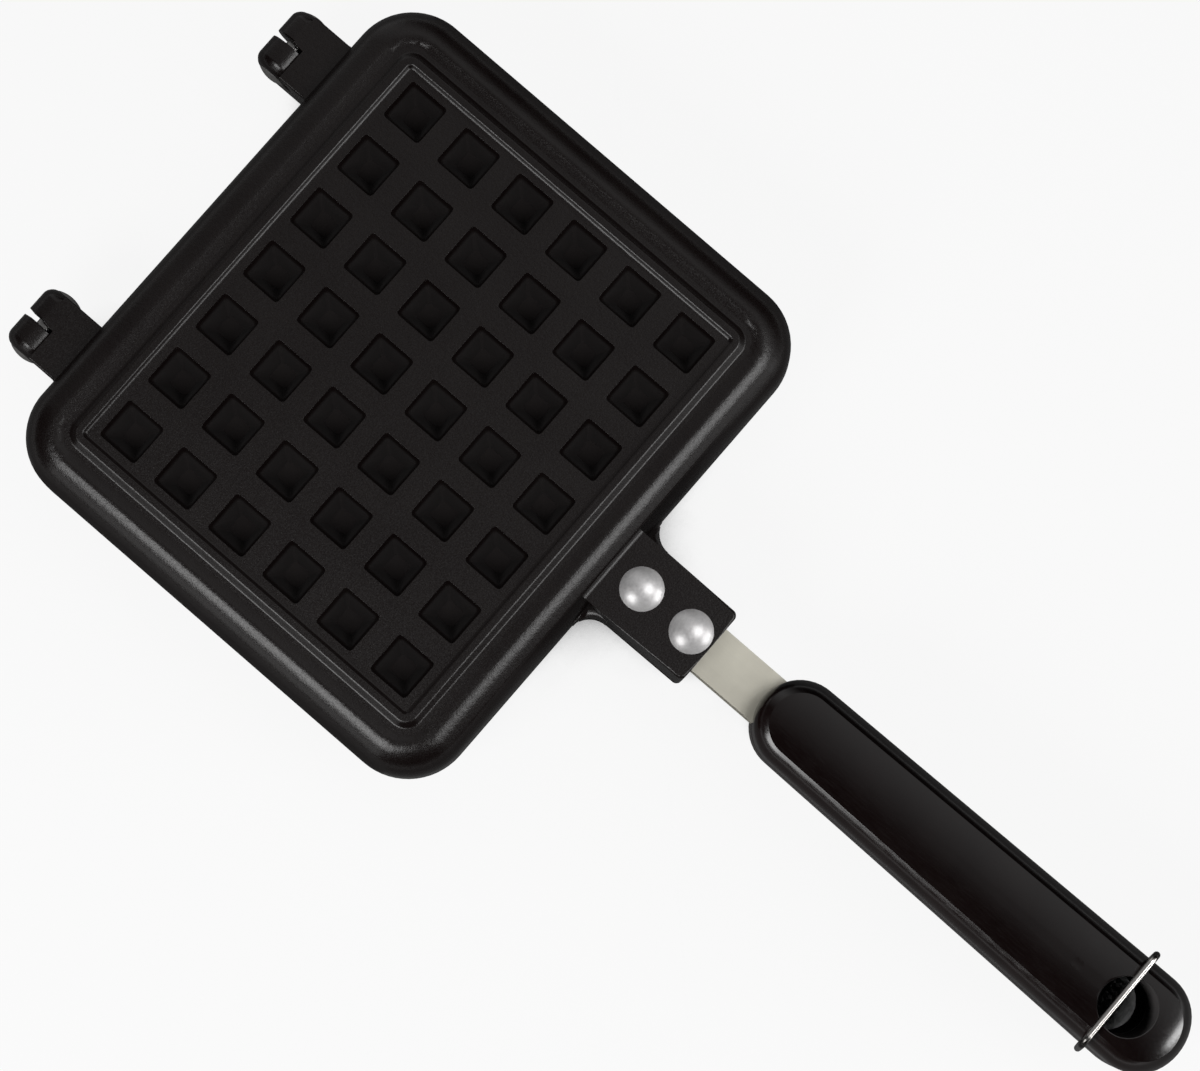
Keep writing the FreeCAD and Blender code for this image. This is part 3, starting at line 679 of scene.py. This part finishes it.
def prism(outline, low, high):
    """An upright block on an outline of (x, y) places."""
    work = bmesh.new()
    bottom = [work.verts.new((x, y, low)) for x, y in outline]
    top = [work.verts.new((x, y, high)) for x, y in outline]
    work.faces.new(bottom)
    work.faces.new(top)
    for step in range(len(outline)):
        after = (step + 1) % len(outline)
        work.faces.new((bottom[step], bottom[after], top[after], top[step]))
    return new_mesh("cutter", work)


def box_outline(left, right, front, back):
    """A rectangle as (x, y) places."""
    return [(left, front), (right, front), (right, back), (left, back)]


def cut(mesh, cutters):
    """Take cutters away from a mesh."""
    target = bpy.data.objects.new("being_cut", mesh)
    bpy.context.scene.collection.objects.link(target)
    for cutter in cutters:
        tool = bpy.data.objects.new("cutter", cutter)
        bpy.context.scene.collection.objects.link(tool)
        taking = target.modifiers.new("taking", "BOOLEAN")
        taking.operation = "DIFFERENCE"
        taking.solver = "EXACT"
        taking.object = tool
        bpy.context.view_layer.update()
        shape = bpy.data.meshes.new_from_object(target.evaluated_get(bpy.context.evaluated_depsgraph_get()))
        target.modifiers.remove(taking)
        target.data = shape
        bpy.data.objects.remove(tool)
    result = target.data
    bpy.data.objects.remove(target)
    return result


def handle(node, side):
    """A moulded handle half with its hanging eye, the strip's bed and either the bail's seat or its pivots."""
    low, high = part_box(node)
    half_width = (high.x - low.x) / 2
    foot = low.z - PARTING_HEIGHT if side == "upper" else PARTING_HEIGHT - high.z
    top = high.z - PARTING_HEIGHT if side == "upper" else PARTING_HEIGHT - low.z
    front_y = high.y
    tip_y = low.y
    mesh = handle_block(node, front_y, tip_y, half_width, foot, top)
    eye_place = Matrix.Translation((0, tip_y + EYE_SETBACK, 0))
    clear = CUT_CLEARANCE
    rim = top - CUT_OVERLAP
    flare = [(EYE_RADIUS + EYE_ROUND + clear, top + clear), (EYE_RADIUS + EYE_ROUND, rim)]
    rounding = arc(EYE_RADIUS + EYE_ROUND, rim - EYE_ROUND, -EYE_ROUND, -90.0, 0.0, 6)[1:]
    eye = [(0.0, foot - clear), (EYE_RADIUS, foot - clear)] + list(reversed(flare + rounding)) + [(0.0, top + clear)]
    cutters = [turned("eye", eye, eye_place, 96)]
    half = STRIP_WIDTH / 2
    cutters.append(prism(box_outline(-half, half, tip_y + STRIP_SETBACK, front_y + clear),
                         STRIP_LEVEL - CUT_OVERLAP, STRIP_LEVEL + STRIP_THICKNESS))
    if side == "upper":
        wire_y = wire_line(tip_y, top)
        seat = box_outline(-half_width - clear, half_width + clear, wire_y - SEAT_BEHIND, wire_y + SEAT_AHEAD)
        cutters.append(prism(seat, top - SEAT_DEPTH, top + clear))
        mark = Matrix.Translation((0, tip_y + MARK_SETBACK, 0))
        ring = [
            (0.0, top - MARK_DEPTH), (MARK_RADIUS / 2, top - 0.75 * MARK_DEPTH), (MARK_RADIUS, top - MARK_EDGE_DEPTH),
            (MARK_RADIUS, top + clear), (0.0, top + clear),
        ]
        cutters.append(turned("mark", ring, mark, 40))
    else:
        for way in (-1, 1):
            hole = Matrix.Translation((way * (half_width + clear), tip_y + PIVOT_SETBACK, PIVOT_DROP))
            hole = hole @ Matrix.Rotation(-way * math.pi / 2, 4, "Y")
            depth = BAIL_END_DEPTH + clear + PIVOT_RADIUS
            bore = [(0.0, 0.0), (PIVOT_RADIUS, 0.0), (PIVOT_RADIUS, depth), (0.0, depth)]
            cutters.append(turned("pivot", bore, hole, 32))
    mesh = cut(mesh, cutters)
    place = Matrix.Translation((0, 0, PARTING_HEIGHT))
    if side == "lower":
        place = place @ Matrix.Rotation(math.pi, 4, "Y")
    mesh.transform(place)
    stand_in(node, "handle_moulding", mesh, 12.0)


def bail_reach(top):
    """How far the bail's cross run is from its pivot."""
    return top + PIVOT_DROP + WIRE_GAP + WIRE_RADIUS


def wire_line(tip_y, top):
    """Where the bail's cross run lies along the handle."""
    return tip_y + PIVOT_SETBACK + bail_reach(top) * math.sin(BAIL_LEAN)


def bail(node):
    """The wire bail: ends in the lower handle, legs beside it and the run across the upper one."""
    low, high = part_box(node)
    tip_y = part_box("lower_handle")[0].y
    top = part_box("upper_handle")[1].z - PARTING_HEIGHT
    side = (high.x - low.x) / 2 - WIRE_RADIUS
    reach = bail_reach(top)
    half = [(side - BAIL_END_DEPTH, 0.0)]
    half += arc(side - BAIL_END_BEND, BAIL_END_BEND, BAIL_END_BEND, -90.0, 0.0, 8)
    half += arc(side - BAIL_TOP_BEND, reach - BAIL_TOP_BEND, BAIL_TOP_BEND, 0.0, 90.0, 12)
    outline = half + [(-across, up) for across, up in reversed(half)]
    pivot = Vector((0, tip_y + PIVOT_SETBACK, PARTING_HEIGHT - PIVOT_DROP))
    curve = bpy.data.curves.new(node, "CURVE")
    curve.dimensions = "3D"
    curve.bevel_depth = WIRE_RADIUS
    curve.bevel_resolution = 6
    curve.use_fill_caps = True
    spline = curve.splines.new("POLY")
    spline.points.add(len(outline) - 1)
    for point, (across, up) in zip(spline.points, outline):
        place = pivot + Vector((across, up * math.sin(BAIL_LEAN), up * math.cos(BAIL_LEAN)))
        point.co = (*place, 1.0)
    holder = bpy.data.objects.new("wire_route", curve)
    mesh = bpy.data.meshes.new_from_object(holder)
    bpy.data.objects.remove(holder)
    stand_in(node, "wire_steel", mesh, 60.0)


def floor_paper_with_painted_shade():
    """Pale paper with painted shade: its colour goes dark where the floor is shut in, under and around the object,
    and is darkened near the object where it is mirrored. Open floor is seen as white, and mirrored as white only some
    way from the object."""
    made = bpy.data.materials.new("floor_paper_with_painted_shade")
    made.use_nodes = True
    tree = made.node_tree
    links = tree.links
    paper = tree.nodes["Principled BSDF"]
    paper.inputs["Roughness"].default_value = 0.9
    paper.inputs["Specular IOR Level"].default_value = 0.0
    white = tree.nodes.new("ShaderNodeEmission")
    white.inputs["Strength"].default_value = 1.0
    nearby = tree.nodes.new("ShaderNodeAmbientOcclusion")
    nearby.samples = 16
    nearby.inputs["Distance"].default_value = SHADE_REACH
    from_object = tree.nodes.new("ShaderNodeVectorMath")
    from_object.operation = "LENGTH"
    links.new(place_node(tree), from_object.inputs[0])
    openness = nearby.outputs["AO"]
    away = from_object.outputs["Value"]
    path = tree.nodes.new("ShaderNodeLightPath").outputs

    # Painted shade: the paper's colour goes near black where the floor is shut in by the object.
    colour = tint(tree, openness, (0.01, 0.01, 0.01), (0.88, 0.88, 0.88), 0.12, 0.4)
    # Painted shade in reflections: for mirrored rays the paper's colour is darkened near the object.
    not_mirrored = maths(tree, "SUBTRACT", 1.0, path["Is Glossy Ray"])
    share = largest(tree, spread(tree, away, 0.3, 1.0, 0.2, 0.6), not_mirrored)
    links.new(scaled(tree, colour, share), paper.inputs["Base Color"])

    seen = maths(tree, "MULTIPLY", spread(tree, openness, 0.0, 0.9, 0.2, 0.4), path["Is Camera Ray"])
    bounced = largest(tree, path["Is Glossy Ray"], path["Is Transmission Ray"])
    mirrored = maths(tree, "MULTIPLY", spread(tree, away, 0.0, 0.9, 0.3, 1.2), bounced)
    mix = tree.nodes.new("ShaderNodeMixShader")
    links.new(largest(tree, seen, mirrored), mix.inputs["Fac"])
    links.new(paper.outputs["BSDF"], mix.inputs[1])
    links.new(white.outputs["Emission"], mix.inputs[2])
    links.new(mix.outputs["Shader"], tree.nodes["Material Output"].inputs["Surface"])
    return made


def lay_floor():
    """The sheet that the object lies on."""
    work = bmesh.new()
    outline = box_outline(-FLOOR_REACH, FLOOR_REACH, -FLOOR_REACH, FLOOR_REACH)
    work.faces.new([work.verts.new((x, y, 0.0)) for x, y in outline])
    mesh = new_mesh("floor", work)
    mesh.materials.append(floor_paper_with_painted_shade())
    floor = bpy.data.objects.new("floor", mesh)
    bpy.context.scene.collection.objects.link(floor)


def surroundings():
    """A dim room with a low horizon band and a pale screen to one side, white where the camera sees it."""
    world = bpy.data.worlds.new("studio")
    bpy.context.scene.world = world
    world.use_nodes = True
    tree = world.node_tree
    around = tree.nodes["Background"]
    way = axes(tree, tree.nodes.new("ShaderNodeTexCoord").outputs["Generated"])
    horizon = spread(tree, way["Z"], 0.25, 0.01, 0.02, 0.18)
    rise = spread(tree, way["X"], 0.01, 0.66, -0.12, 0.42)
    fall = spread(tree, way["X"], 0.66, 0.01, 0.48, 0.80)
    seen = tree.nodes.new("ShaderNodeLightPath").outputs["Is Camera Ray"]
    tree.links.new(largest(tree, horizon, maths(tree, "MINIMUM", rise, fall), seen), around.inputs["Color"])
    around.inputs["Strength"].default_value = 1.0


def lamps():
    """Soft boxes, each for the surfaces that it is meant for."""
    groups = {name: bpy.data.collections.new(name) for name in ("coated", "uncoated", "metal", "moulded")}
    for node in body_of:
        piece = bpy.data.objects[f"{node}_dressed"]
        if node.endswith("casting"):
            groups["coated"].objects.link(piece)
            groups["uncoated"].objects.link(piece)
        elif node.endswith("handle"):
            groups["moulded"].objects.link(piece)
        else:
            groups["metal"].objects.link(piece)
    for entry in groups["uncoated"].collection_objects:
        entry.light_linking.link_state = "EXCLUDE"
    for name, lit, bearing, tilt, size, power in LAMPS:
        lamp = bpy.data.lights.new(name, "AREA")
        lamp.shape = "RECTANGLE"
        lamp.size, lamp.size_y = size
        lamp.energy = power
        holder = bpy.data.objects.new(name, lamp)
        bpy.context.scene.collection.objects.link(holder)
        holder.light_linking.receiver_collection = groups[lit]
        bearing = math.radians(bearing)
        tilt = math.radians(tilt)
        away = Vector((math.sin(tilt) * math.cos(bearing), math.sin(tilt) * math.sin(bearing), math.cos(tilt)))
        holder.location = LAMP_TARGET + away
        holder.rotation_euler = away.to_track_quat("Z", "Y").to_euler()


def camera():
    """The camera of the photograph."""
    lens = bpy.data.cameras.new("camera")
    lens.lens = FOCAL_LENGTH
    lens.sensor_width = SENSOR_WIDTH
    lens.clip_start = 0.01
    lens.clip_end = 20.0
    holder = bpy.data.objects.new("camera", lens)
    bpy.context.scene.collection.objects.link(holder)
    forward = (CAMERA_TARGET - CAMERA_PLACE).normalized()
    right = forward.cross(CAMERA_TOP).normalized()
    up = right.cross(forward)
    turn = Matrix((right, up, -forward)).transposed().to_4x4()
    holder.matrix_world = Matrix.Translation(CAMERA_PLACE) @ turn
    bpy.context.scene.camera = holder


bpy.context.scene.view_settings.view_transform = "Standard"
for half in ("upper", "lower"):
    casting(f"{half}_casting", half)
    strip(f"{half}_strip")
    for row in ("front", "rear"):
        rivet(f"{half}_rivet_{row}", half)
    handle(f"{half}_handle", half)
for hinge in ("left", "right"):
    hinge_pin(f"hinge_pin_{hinge}")
bail("latch_bail")
lay_floor()
surroundings()
lamps()
camera()
